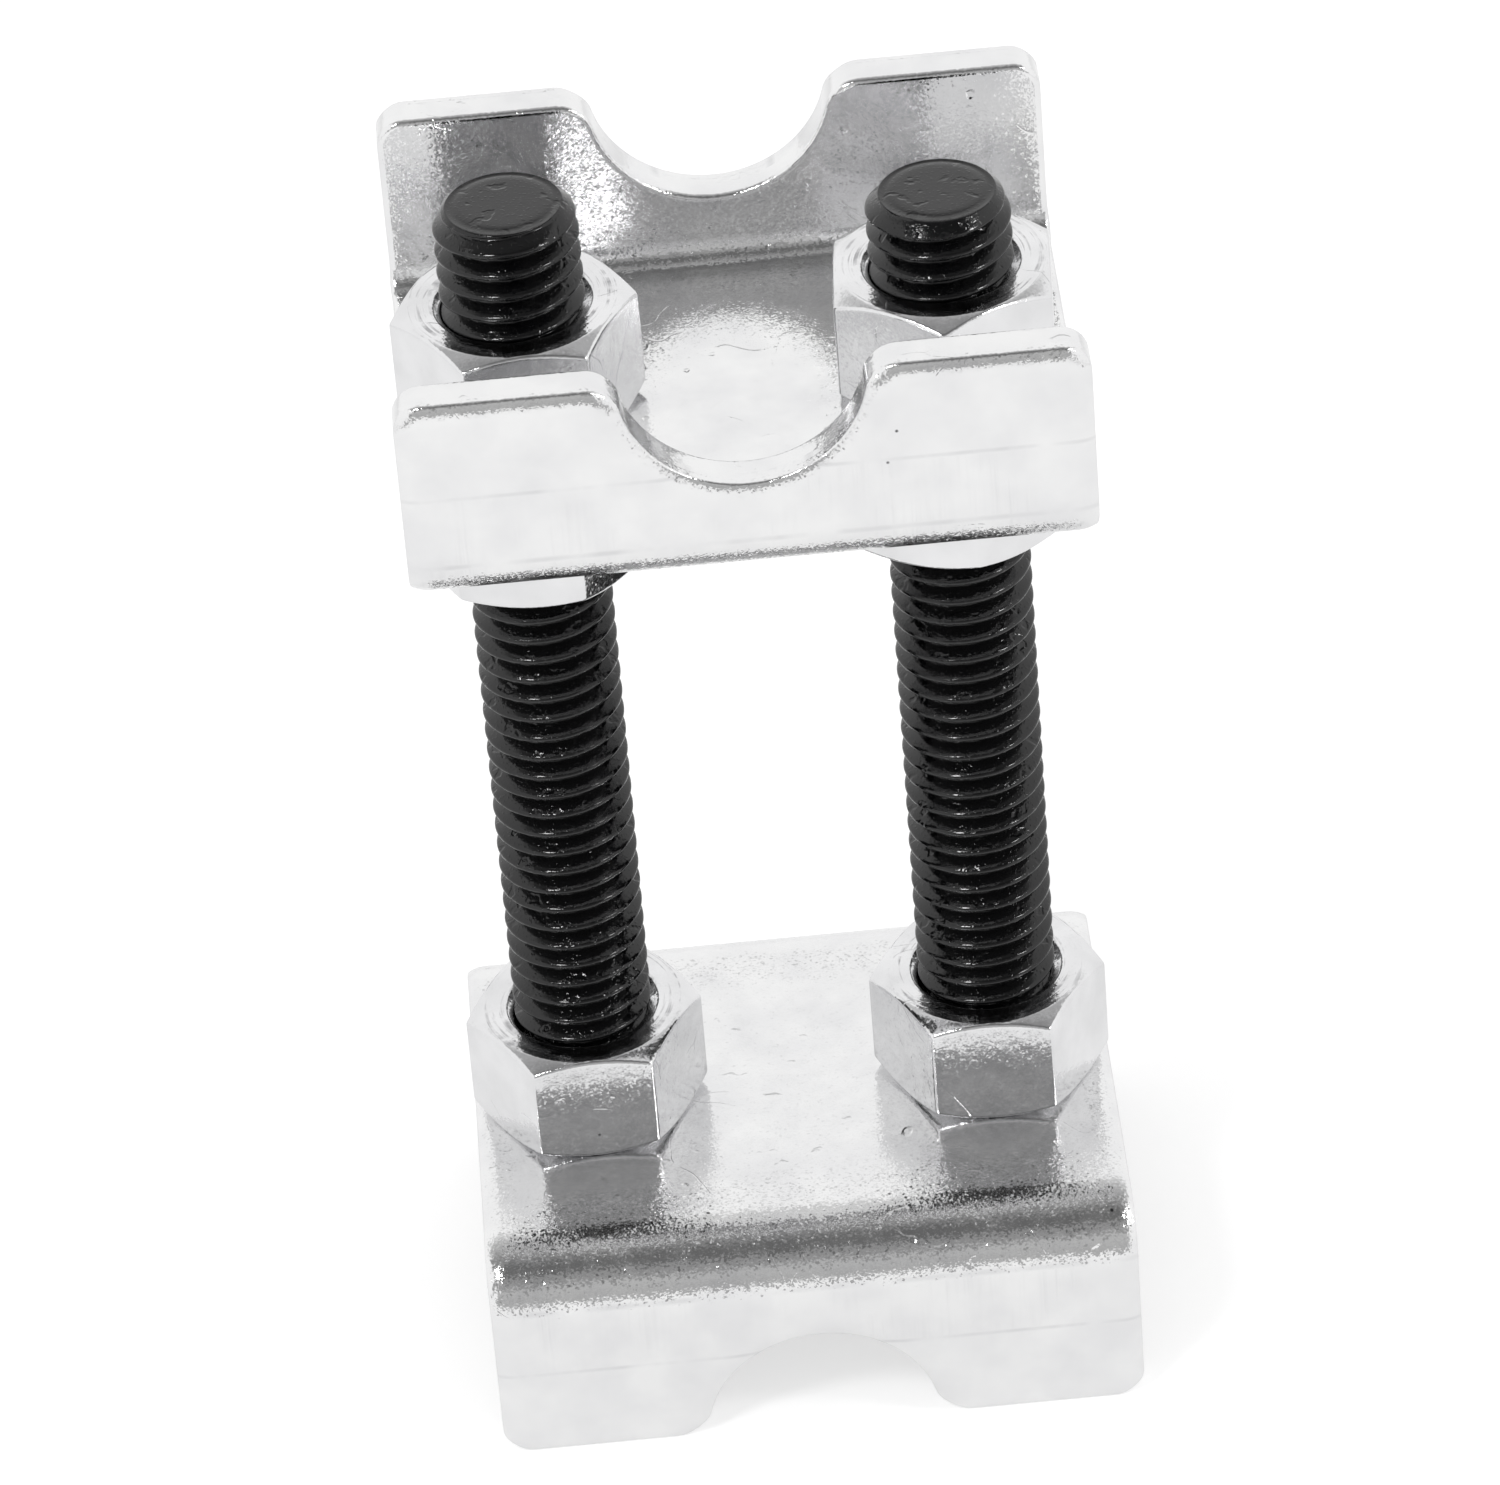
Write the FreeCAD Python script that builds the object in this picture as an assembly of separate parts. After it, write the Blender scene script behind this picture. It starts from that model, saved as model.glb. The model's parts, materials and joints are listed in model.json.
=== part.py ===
import FreeCAD, Part

import math
import os
from FreeCAD import Vector

# Coil spring compressor: two identical stamped channel brackets, back to back,
# held apart by two full-thread bolts and six hexagon nuts.
# Millimetres. X runs along the brackets, Y across the channels, Z up along the bolts.
# The origin is on the surface that the lower bracket's flange tips stand on, between the bolts.

# Brackets: 1/8 in plate folded into a channel, 1 3/4 in long.
plateThickness = 3.175
bracketLength = 44.45
bracketWidth = 38.1
flangeHeight = 15.875
outerBendRadius = 4.7625
innerBendRadius = outerBendRadius - plateThickness
boltSpacing = 27.94
webHoleRadius = 5.16

# Half-round seat for the coil wire in each flange tip, with rolled shoulders.
seatRadius = 7.9375
seatShoulderRadius = 2.5
flangeCornerRadius = 1.8

# Hardware: 3/8-16 UNC. The threads are left as plain cylinders with running clearance.
threadRadius = 4.7625
threadPitch = 1.5875
boltEndRadius = 3.7
boltLength = 76.2
rightBoltShortfall = 2.0
headHeight = 6.0
headAcrossFlats = 14.2
nutHeight = 8.2
nutAcrossFlats = 14.2
boreRadius = threadRadius + 0.05
boreMouthRadius = 5.3
chamferFaceRatio = 0.97
chamferSlope = math.tan(math.radians(30.0))

# Where the upper bracket has been run to: gap between the two webs' outer faces.
webGap = 54.2
nutPlay = 0.05

# Angle of one corner of each nut and bolt head about its bolt, in degrees from +X.
cornerAngles = {
    "left_bolt": 0.0,
    "right_bolt": 0.0,
    "left_base_nut": 2.2,
    "right_base_nut": -2.2,
    "left_adjusting_nut": -9.8,
    "right_adjusting_nut": -84.7,
    "left_lock_nut": 3.4,
    "right_lock_nut": -94.1,
}

lowerWebInside = flangeHeight - plateThickness
upperWebOutside = flangeHeight + webGap
upperWebInside = upperWebOutside + plateThickness
boltX = {"left": -boltSpacing / 2, "right": boltSpacing / 2}


def edges_along(solid, direction, test):
    """The straight edges of a solid that run along a direction and whose middle passes a test."""
    found = []
    for edge in solid.Edges:
        if len(edge.Vertexes) != 2:
            continue
        start, end = edge.Vertexes[0].Point, edge.Vertexes[1].Point
        run = end - start
        if run.Length < 1e-6 or abs(abs(run.normalize().dot(direction)) - 1) > 1e-6:
            continue
        if test((start + end) * 0.5):
            found.append(edge)
    return found


def rounded_block(width, height, radius, overhang=0.0):
    """A block along X with its two upper long edges rounded, standing on z = 0."""
    length = bracketLength + 2 * overhang
    block = Part.makeBox(length, width, height, Vector(-length / 2, -width / 2, 0))
    top_edges = edges_along(block, Vector(1, 0, 0), lambda middle: abs(middle.z - height) < 1e-6)
    return block.makeFillet(radius, top_edges)


def bracket():
    """Channel bracket with its web on top and its flange tips on z = 0."""
    outside = rounded_block(bracketWidth, flangeHeight, outerBendRadius)
    inside = rounded_block(bracketWidth - 2 * plateThickness, lowerWebInside, innerBendRadius, overhang=1.0)
    body = outside.cut(inside)

    # One cutter makes the seats in both flanges, in line.
    cutter_length = bracketWidth + 2.0
    seat = Part.makeCylinder(seatRadius, cutter_length, Vector(0, -cutter_length / 2, 0), Vector(0, 1, 0))
    body = body.cut(seat)
    for x in boltX.values():
        body = body.cut(Part.makeCylinder(webHoleRadius, flangeHeight, Vector(x, 0, 1.0)))

    across = Vector(0, 1, 0)
    shoulders = edges_along(body, across, lambda p: abs(p.z) < 0.01 and abs(abs(p.x) - seatRadius) < 0.01)
    body = body.makeFillet(seatShoulderRadius, shoulders)
    corners = edges_along(body, across, lambda p: abs(p.z) < 0.01 and abs(p.x) > bracketLength / 2 - 0.01)
    return body.makeFillet(flangeCornerRadius, corners)


def hexagon_prism(across_flats, height, corner_angle):
    """Hexagonal prism on z = 0 with one corner at an angle from +X, in degrees."""
    corner_radius = across_flats / math.sqrt(3.0)
    points = []
    for i in range(7):
        angle = math.radians(corner_angle + 60.0 * i)
        points.append(Vector(corner_radius * math.cos(angle), corner_radius * math.sin(angle), 0))
    return Part.Face(Part.makePolygon(points)).extrude(Vector(0, 0, height))


def turned(profile):
    """Solid of revolution about Z from a closed list of (radius, height) points."""
    points = [Vector(r, 0, z) for r, z in profile]
    points.append(points[0])
    return Part.Face(Part.makePolygon(points)).revolve(Vector(0, 0, 0), Vector(0, 0, 1), 360)


def nut(corner_angle):
    """Full hexagon nut on z = 0, chamfered and countersunk on both faces."""
    outer = nutAcrossFlats * 0.6
    face = nutAcrossFlats / 2 * chamferFaceRatio
    drop = (outer - face) * chamferSlope
    sink = boreMouthRadius - boreRadius
    ring = turned([
        (boreMouthRadius, 0),
        (face, 0),
        (outer, drop),
        (outer, nutHeight - drop),
        (face, nutHeight),
        (boreMouthRadius, nutHeight),
        (boreRadius, nutHeight - sink),
        (boreRadius, sink),
    ])
    return ring.common(hexagon_prism(nutAcrossFlats, nutHeight, corner_angle))


def bolt(length, corner_angle):
    """Hexagon-head bolt, head down, with the underside of its head on z = 0."""
    outer = headAcrossFlats * 0.6
    face = headAcrossFlats / 2 * chamferFaceRatio
    drop = (outer - face) * chamferSlope
    blank = turned([(0, 0), (face, 0), (outer, drop), (outer, headHeight), (0, headHeight)])
    head = blank.common(hexagon_prism(headAcrossFlats, headHeight, corner_angle))
    head.translate(Vector(0, 0, -headHeight))
    point = threadRadius - boltEndRadius
    shank = turned([
        (0, -headHeight / 2),
        (threadRadius, -headHeight / 2),
        (threadRadius, length - point),
        (boltEndRadius, length),
        (0, length),
    ])
    return head.fuse(shank).removeSplitter()


def placed(shape, x, z):
    shape.translate(Vector(x, 0, z))
    return shape


def build():
    nodes = {"lower_bracket": bracket()}

    upper = bracket()
    upper.rotate(Vector(0, 0, 0), Vector(1, 0, 0), 180)
    nodes["upper_bracket"] = placed(upper, 0, upperWebOutside + flangeHeight)

    bolt_lengths = {"left": boltLength, "right": boltLength - rightBoltShortfall}
    nut_heights = {
        "base_nut": flangeHeight,
        "adjusting_nut": upperWebOutside - nutPlay - nutHeight,
        "lock_nut": upperWebInside + nutPlay,
    }
    for side, x in boltX.items():
        name = side + "_bolt"
        nodes[name] = placed(bolt(bolt_lengths[side], cornerAngles[name]), x, lowerWebInside)
        for kind, z in nut_heights.items():
            name = side + "_" + kind
            nodes[name] = placed(nut(cornerAngles[name]), x, z)
    return nodes


os.makedirs("parts", exist_ok=True)
for node, shape in build().items():
    if len(shape.Solids) != 1 or not shape.isValid():
        raise SystemExit(node + " is not one valid solid")
    shape.Solids[0].exportStep("parts/" + node + ".step")
    box = shape.BoundBox
    print(f"{node:20s} {shape.Volume:9.1f} mm3  z {box.ZMin:7.2f} to {box.ZMax:7.2f}")

# One turn of a nut moves the upper bracket by one pitch.
nutTopRoom = lowerWebInside + boltLength - rightBoltShortfall - (upperWebInside + nutPlay + nutHeight)
nutBottomRoom = (upperWebOutside - nutPlay - nutHeight) - (flangeHeight + nutHeight)
print(f"turns up {nutTopRoom / threadPitch:.2f}, turns down {nutBottomRoom / threadPitch:.2f}")
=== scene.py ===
import json
import math

import bmesh
import bpy
import numpy as np
from mathutils import Matrix, Vector


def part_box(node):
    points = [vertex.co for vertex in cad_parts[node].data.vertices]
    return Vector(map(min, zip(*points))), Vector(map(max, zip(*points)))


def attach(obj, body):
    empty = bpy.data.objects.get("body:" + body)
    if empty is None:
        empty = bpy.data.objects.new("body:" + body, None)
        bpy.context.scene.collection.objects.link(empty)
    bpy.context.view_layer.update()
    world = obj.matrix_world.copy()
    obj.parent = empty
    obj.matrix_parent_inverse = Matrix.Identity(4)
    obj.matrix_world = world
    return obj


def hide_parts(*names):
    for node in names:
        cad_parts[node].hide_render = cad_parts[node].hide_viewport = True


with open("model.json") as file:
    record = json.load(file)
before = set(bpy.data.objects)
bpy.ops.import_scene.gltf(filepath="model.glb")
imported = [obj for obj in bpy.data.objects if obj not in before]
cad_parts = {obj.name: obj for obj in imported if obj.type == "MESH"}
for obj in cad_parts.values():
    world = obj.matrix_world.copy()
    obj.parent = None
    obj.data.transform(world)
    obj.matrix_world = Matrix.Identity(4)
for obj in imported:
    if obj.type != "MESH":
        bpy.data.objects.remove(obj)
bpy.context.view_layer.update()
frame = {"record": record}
mm = 0.001
print("frame loaded")


def hexColour(code):
    # sRGB hex to the linear colour the shaders want
    channels = [int(code[i:i + 2], 16) / 255 for i in (1, 3, 5)]
    linear = [c / 12.92 if c <= 0.04045 else ((c + 0.055) / 1.055) ** 2.4 for c in channels]
    return (*linear, 1.0)


def addNode(tree, kind, settings=None, inputs=None, out=0):
    # inputs maps a socket's name or number to a value, or to an output to link; out picks what comes back,
    # one output by name or number, or the whole node for None
    made = tree.nodes.new(kind)
    for name, value in (settings or {}).items():
        setattr(made, name, value)
    for name, value in (inputs or {}).items():
        if isinstance(value, bpy.types.NodeSocket):
            tree.links.new(value, made.inputs[name])
        else:
            made.inputs[name].default_value = value
    return made if out is None else made.outputs[out]


def finishPiece(piece, material, body, replaced):
    piece.data.materials.clear()
    piece.data.materials.append(material)
    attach(piece, body)
    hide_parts(replaced)


def meshObject(name, vertices, faces):
    mesh = bpy.data.meshes.new(name)
    mesh.from_pydata([tuple(v) for v in vertices], [], faces)
    made = bpy.data.objects.new(name, mesh)
    bpy.context.scene.collection.objects.link(made)
    return made


def bodyOf(nodeName):
    for body, members in frame["record"]["behaviour"]["bodies"].items():
        if nodeName in members:
            return body


def startMaterial(name):
    material = bpy.data.materials.new(name)
    material.use_nodes = True
    tree = material.node_tree
    tree.nodes.clear()
    shader = addNode(tree, "ShaderNodeBsdfPrincipled", out=None)
    addNode(tree, "ShaderNodeOutputMaterial", None, {"Surface": shader.outputs["BSDF"]}, None)
    place = addNode(tree, "ShaderNodeTexCoord", out="Object")
    return material, tree, shader, place


def mottle(tree, place, size, detail=2.0, rough=0.5, between=(0.0, 1.0), to=(0.0, 1.0)):
    # blotches of one size in millimetres: as their noise climbs between two levels, the result goes
    # from one value to the other
    cloud = addNode(tree, "ShaderNodeTexNoise", None, {
        "Vector": place, "Scale": 1 / (size * mm), "Detail": detail, "Roughness": rough})
    return addNode(tree, "ShaderNodeMapRange", None, {
        "Value": cloud, "From Min": between[0], "From Max": between[1], "To Min": to[0], "To Max": to[1]})


def band(tree, value, low, high, soft):
    # 1 between two limits in millimetres, fading out over a soft distance each side
    rise = addNode(tree, "ShaderNodeMapRange", None, {
        "Value": value, "From Min": (low - soft) * mm, "From Max": low * mm})
    fall = addNode(tree, "ShaderNodeMapRange", None, {
        "Value": value, "From Min": high * mm, "From Max": (high + soft) * mm, "To Min": 1.0, "To Max": 0.0})
    return addNode(tree, "ShaderNodeMath", {"operation": "MULTIPLY"}, {0: rise, 1: fall})


def reliefNormal(tree, layers):
    # layers are pairs of a pattern and its depth in millimetres, laid over each other
    height = 0.0
    for pattern, depth in layers:
        height = addNode(tree, "ShaderNodeMath", {"operation": "MULTIPLY_ADD"}, {
            0: pattern, 1: depth, 2: height})
    return addNode(tree, "ShaderNodeBump", None, {"Strength": 1.0, "Distance": mm, "Height": height})


zincLook = {
    # sizes, spacings, widths and depths are in millimetres
    "bright": "#EBEBEB", "dull": "#E2E2E3", "pit": "#4A4A4C",
    "cloudSize": 4.0, "hazeSize": 1.3, "roughLow": 0.10, "roughHigh": 0.18,
    "grainSize": 0.19, "grainDepth": 0.007, "facetSize": 0.15, "facetTilt": 0.050,
    "leanLeast": 0.30, "leanMore": 0.9, "leanPower": 3.0,     # how few grains lean a lot
    "waveSize": 6.0, "waveDepth": 0.010,
    "dentSize": 1.7, "dentDepth": 0.030, "dentFrom": 0.70, "dentEdge": 0.06,
    "scratchSpacing": 15.0, "scratchDepth": 0.010, "scratchWidth": 0.07,
    "scratchBreak": 3.0, "wanderSize": 9.0, "wanderReach": 12.0,
    "spotSpacing": 1.6, "spotPatch": 7.0,
}


def wornZinc(tree, place, look):
    # what every zinc piece shares: its cloudy colour with specks, and its waves, dents and scratches
    cloud = mottle(tree, place, look["cloudSize"], 3.0, between=(0.35, 0.7))
    colour = addNode(tree, "ShaderNodeMix", {"data_type": "RGBA"}, {
        0: cloud, 6: hexColour(look["bright"]), 7: hexColour(look["dull"])}, 2)
    # hairline scratches run along the borders of large wandering cells, and break off here and there
    wander = addNode(tree, "ShaderNodeTexNoise", None, {
        "Vector": place, "Scale": 1 / (look["wanderSize"] * mm), "Detail": 2.0}, "Color")
    reach = look["wanderReach"] * mm
    bent = addNode(tree, "ShaderNodeVectorMath", {"operation": "MULTIPLY_ADD"}, {
        0: wander, 1: (reach, reach, reach), 2: place})
    border = addNode(tree, "ShaderNodeTexVoronoi", {"feature": "DISTANCE_TO_EDGE"}, {
        "Vector": bent, "Scale": 1 / (look["scratchSpacing"] * mm)}, "Distance")
    line = addNode(tree, "ShaderNodeMapRange", None, {
        "Value": border, "From Max": look["scratchWidth"] / look["scratchSpacing"],
        "To Min": 1.0, "To Max": 0.0})
    scratch = addNode(tree, "ShaderNodeMath", {"operation": "MULTIPLY"}, {
        0: line, 1: mottle(tree, place, look["scratchBreak"], between=(0.50, 0.58))})
    # a few specks where the plating did not take
    toSpot = addNode(tree, "ShaderNodeTexVoronoi", None, {
        "Vector": place, "Scale": 1 / (look["spotSpacing"] * mm)}, "Distance")
    spot = addNode(tree, "ShaderNodeMapRange", None, {
        "Value": toSpot, "From Min": 0.05, "From Max": 0.10, "To Min": 1.0, "To Max": 0.0})
    speck = addNode(tree, "ShaderNodeMath", {"operation": "MULTIPLY"}, {
        0: spot, 1: mottle(tree, place, look["spotPatch"], 1.0, between=(0.66, 0.69))})
    colour = addNode(tree, "ShaderNodeMix", {"data_type": "RGBA"}, {
        0: speck, 6: colour, 7: hexColour(look["pit"])}, 2)
    dentEdge = (look["dentFrom"], look["dentFrom"] + look["dentEdge"])
    layers = [
        (mottle(tree, place, look["waveSize"], 1.0), look["waveDepth"]),
        (mottle(tree, place, look["dentSize"], 1.5, between=dentEdge), -look["dentDepth"]),
        (scratch, -look["scratchDepth"]),
    ]
    return colour, layers


def finishZinc(tree, shader, place, look, colour, layers, tilt):
    tree.links.new(colour, shader.inputs["Base Color"])
    shader.inputs["Metallic"].default_value = 1.0
    roughness = (look["roughLow"], look["roughHigh"])
    haze = mottle(tree, place, look["hazeSize"], 3.0, between=(0.3, 0.7), to=roughness)
    tree.links.new(haze, shader.inputs["Roughness"])
    # the plating's grains each lean their own way: most of them hardly, a few of them a lot
    grains = addNode(tree, "ShaderNodeTexVoronoi", None, {
        "Vector": place, "Scale": 1 / (look["facetSize"] * mm)}, "Color")
    pick = addNode(tree, "ShaderNodeSeparateXYZ", None, {0: grains}, "Z")
    few = addNode(tree, "ShaderNodeMath", {"operation": "POWER"}, {0: pick, 1: look["leanPower"]})
    share = addNode(tree, "ShaderNodeMath", {"operation": "MULTIPLY_ADD"}, {
        0: few, 1: look["leanMore"], 2: look["leanLeast"]})
    amount = addNode(tree, "ShaderNodeMath", {"operation": "MULTIPLY"}, {0: share, 1: tilt})
    sideways = addNode(tree, "ShaderNodeVectorMath", {"operation": "MULTIPLY_ADD"}, {
        0: grains, 1: (2, 2, 2), 2: (-1, -1, -1)})
    lean = addNode(tree, "ShaderNodeVectorMath", {"operation": "SCALE"}, {0: sideways, "Scale": amount})
    leaning = addNode(tree, "ShaderNodeVectorMath", {"operation": "ADD"}, {
        0: reliefNormal(tree, layers), 1: lean})
    facing = addNode(tree, "ShaderNodeVectorMath", {"operation": "NORMALIZE"}, {0: leaning})
    tree.links.new(facing, shader.inputs["Normal"])


sheetLook = {
    **zincLook, "mark": "#BDBDBF",
    "bendGrainDepth": 0.010, "bendFacetTilt": 0.085,
    "stretched": (-0.5, 7.0, 2.0),                            # from, to and fade, past the bend line
    "coarseEdges": ((0.04, 0.36, 0.05), (2.3, 3.08, 0.05)),   # the same, up from the inner face
    "drawSpacing": 0.30, "drawStretch": 25.0, "drawDepth": 0.004, "drawn": (-4.2, 3.0, 0.4), "drawPatch": 5.0,
    "dieLines": (-4.2, 0.7), "dieLineHalf": 0.05, "dieLineFade": 0.16, "dieLineBreak": 3.5,
    "middle": 1.6,                                            # half way through the sheet
}


def zincPlatedSheet():
    # bright zinc electroplate on cold-rolled steel: a silver mirror broken up by the sheet's fine grain,
    # so reflections stay readable close by and turn to speckle further off and where the sheet is stretched
    look = sheetLook
    material, tree, shader, place = startMaterial("zincPlatedSheet")
    colour, layers = wornZinc(tree, place, look)
    # the mesh carries where each point lay on the flat blank: along it, past the bend line, and up through it
    blank = addNode(tree, "ShaderNodeAttribute", {"attribute_name": "blank"}, None, "Vector")
    split = addNode(tree, "ShaderNodeSeparateXYZ", None, {0: blank}, None).outputs
    stretched = band(tree, split["Y"], *look["stretched"])
    # the rolled outer edge and the rounded inner one are as coarse as the bend
    for edge in look["coarseEdges"]:
        stretched = addNode(tree, "ShaderNodeMath", {"operation": "MAXIMUM"}, {
            0: stretched, 1: band(tree, split["Z"], *edge)})
    depth = addNode(tree, "ShaderNodeMath", {"operation": "MULTIPLY_ADD"}, {
        0: stretched, 1: look["bendGrainDepth"], 2: look["grainDepth"]})
    tilt = addNode(tree, "ShaderNodeMath", {"operation": "MULTIPLY_ADD"}, {
        0: stretched, 1: look["bendFacetTilt"], 2: look["facetTilt"]})
    layers.append((mottle(tree, place, look["grainSize"], 1.0), depth))
    # draw marks run across the bend, where the sheet slid over the die
    along = addNode(tree, "ShaderNodeVectorMath", {"operation": "MULTIPLY"}, {
        0: blank, 1: (1.0, 1 / look["drawStretch"], 1.0)})
    streak = mottle(tree, along, look["drawSpacing"], 2.0, 0.6)
    drawn = addNode(tree, "ShaderNodeMath", {"operation": "MULTIPLY"}, {
        0: band(tree, split["Y"], *look["drawn"]),
        1: mottle(tree, blank, look["drawPatch"], between=(0.45, 0.65))})
    layers.append((addNode(tree, "ShaderNodeMath", {"operation": "MULTIPLY"}, {0: streak, 1: drawn}),
                   look["drawDepth"]))
    faint = mottle(tree, along, look["drawSpacing"], 2.0, 0.6, between=(0.50, 0.72), to=(0.0, 0.14))
    mark = addNode(tree, "ShaderNodeMath", {"operation": "MULTIPLY"}, {0: faint, 1: drawn})
    half = look["dieLineHalf"]
    for line in look["dieLines"]:
        shown = band(tree, split["Y"], line - half, line + half, look["dieLineFade"])
        broken = mottle(tree, blank, look["dieLineBreak"], 3.0, between=(0.38, 0.66), to=(0.0, 0.38))
        edge = addNode(tree, "ShaderNodeMath", {"operation": "MULTIPLY"}, {0: shown, 1: broken})
        mark = addNode(tree, "ShaderNodeMath", {"operation": "MAXIMUM"}, {0: mark, 1: edge})
    # only the outer face touched the die
    outer = addNode(tree, "ShaderNodeMath", {"operation": "GREATER_THAN"}, {
        0: split["Z"], 1: look["middle"] * mm})
    seen = addNode(tree, "ShaderNodeMath", {"operation": "MULTIPLY"}, {0: mark, 1: outer})
    colour = addNode(tree, "ShaderNodeMix", {"data_type": "RGBA"}, {
        0: seen, 6: colour, 7: hexColour(look["mark"])}, 2)
    finishZinc(tree, shader, place, look, colour, layers, tilt)
    return material


nutLook = {
    **zincLook, "bright": "#E6E6E7", "dull": "#DADADB", "torn": "#8E8E90",
    "grainDepth": 0.006, "waveDepth": 0.006, "dentFrom": 0.74,
    "skinSize": 0.9, "skinDepth": 0.022,
    "boreFromMiddle": 13.97, "ringSpacing": 0.42, "ringDepth": 0.016, "ringMark": 0.75, "ringBreak": 1.1,
    "ringWander": 0.05, "levelFrom": 0.97,
}


def zincPlatedNut():
    # the same bright zinc on a turned and tapped nut: flat faces with a rougher skin than the sheet's,
    # and fine rings about the bore on the faces that were turned
    look = nutLook
    material, tree, shader, place = startMaterial("zincPlatedNut")
    colour, layers = wornZinc(tree, place, look)
    layers.append((mottle(tree, place, look["grainSize"], 1.0), look["grainDepth"]))
    split = addNode(tree, "ShaderNodeSeparateXYZ", None, {0: place}, None).outputs
    side = addNode(tree, "ShaderNodeMath", {"operation": "ABSOLUTE"}, {0: split["X"]})
    aside = addNode(tree, "ShaderNodeMath", {"operation": "SUBTRACT"}, {
        0: side, 1: look["boreFromMiddle"] * mm})
    fromBore = addNode(tree, "ShaderNodeCombineXYZ", None, {"X": aside, "Y": split["Y"]})
    radius = addNode(tree, "ShaderNodeVectorMath", {"operation": "LENGTH"}, {0: fromBore}, "Value")
    outward = addNode(tree, "ShaderNodeCombineXYZ", None, {"X": radius})
    # the rings wander a little and break off, as a worn tool leaves them
    wander = look["ringWander"]
    outward = addNode(tree, "ShaderNodeVectorMath", {"operation": "MULTIPLY_ADD"}, {
        0: place, 1: (wander, wander, wander), 2: outward})
    facing = addNode(tree, "ShaderNodeNewGeometry", out="True Normal")
    up = addNode(tree, "ShaderNodeSeparateXYZ", None, {0: facing}, "Z")
    level = addNode(tree, "ShaderNodeMath", {"operation": "GREATER_THAN"}, {0: up, 1: look["levelFrom"]})
    ring = addNode(tree, "ShaderNodeMath", {"operation": "MULTIPLY"}, {
        0: mottle(tree, outward, look["ringSpacing"], 2.0, 0.6), 1: level})
    layers.append((ring, look["ringDepth"]))
    mark = addNode(tree, "ShaderNodeMapRange", None, {
        "Value": ring, "From Min": 0.54, "From Max": 0.64, "To Max": look["ringMark"]})
    torn = addNode(tree, "ShaderNodeMath", {"operation": "MULTIPLY"}, {
        0: mark, 1: mottle(tree, place, look["ringBreak"], 3.0, between=(0.40, 0.60))})
    colour = addNode(tree, "ShaderNodeMix", {"data_type": "RGBA"}, {
        0: torn, 6: colour, 7: hexColour(look["torn"])}, 2)
    layers.append((mottle(tree, place, look["skinSize"], 2.0), look["skinDepth"]))
    finishZinc(tree, shader, place, look, colour, layers, look["facetTilt"])
    return material


coatingLook = {
    "colour": "#070708", "indexOfRefraction": 1.5, "hazeSize": 0.6, "roughLow": 0.06, "roughHigh": 0.16,
    "nibSize": 0.22, "nibDepth": 0.014, "swellSize": 0.5, "swellDepth": 0.007,
    "nickSize": 1.3, "nickDepth": 0.035,
}


def blackCoating():
    # thick glossy black coating on a rolled thread: nearly black, with sharp thin lights on each crest
    look = coatingLook
    material, tree, shader, place = startMaterial("blackCoating")
    shader.inputs["Base Color"].default_value = hexColour(look["colour"])
    shader.inputs["IOR"].default_value = look["indexOfRefraction"]
    shader.inputs["Metallic"].default_value = 0.0
    roughness = (look["roughLow"], look["roughHigh"])
    haze = mottle(tree, place, look["hazeSize"], 3.0, between=(0.3, 0.75), to=roughness)
    tree.links.new(haze, shader.inputs["Roughness"])
    # the coating's skin: slow swells with small nibs in it, and nicks from handling
    relief = reliefNormal(tree, [
        (mottle(tree, place, look["nibSize"], 1.0, between=(0.58, 0.80)), look["nibDepth"]),
        (mottle(tree, place, look["swellSize"], 2.0), look["swellDepth"]),
        (mottle(tree, place, look["nickSize"], 2.0, between=(0.60, 0.68)), -look["nickDepth"]),
    ])
    tree.links.new(relief, shader.inputs["Normal"])
    return material


bracketZinc = zincPlatedSheet()
nutZinc = zincPlatedNut()
boltBlack = blackCoating()
print("materials made")


thread = {
    "pitch": 1.5875, "crest": 4.74, "root": 3.70,
    "crestShare": 0.14, "rootShare": 0.98,     # where the flank starts and ends, from crest to root
    "crestRound": 0.13, "rootRound": 0.08,     # how softly the flank meets them, in millimetres
    "clearance": 0.05, "around": 96, "rowsPerTurn": 18,
}


def smoothLower(a, b, soft):
    # the lower of two values, rounded off where they cross
    h = np.maximum(soft - np.abs(a - b), 0) / soft
    return np.minimum(a, b) - h ** 3 * soft / 6


def threadRadius(turn, z):
    # radius of the bolt's thread at an angle in turns and a height in millimetres
    phase = (z / thread["pitch"] - turn) % 1.0
    fromCrest = np.abs(phase - 0.5) * 2
    steep = (thread["crest"] - thread["root"]) / (thread["rootShare"] - thread["crestShare"])
    flank = thread["crest"] + (thread["crestShare"] - fromCrest) * steep
    ridge = smoothLower(thread["crest"], flank, thread["crestRound"])
    return -smoothLower(-thread["root"], -ridge, thread["rootRound"])


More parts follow.
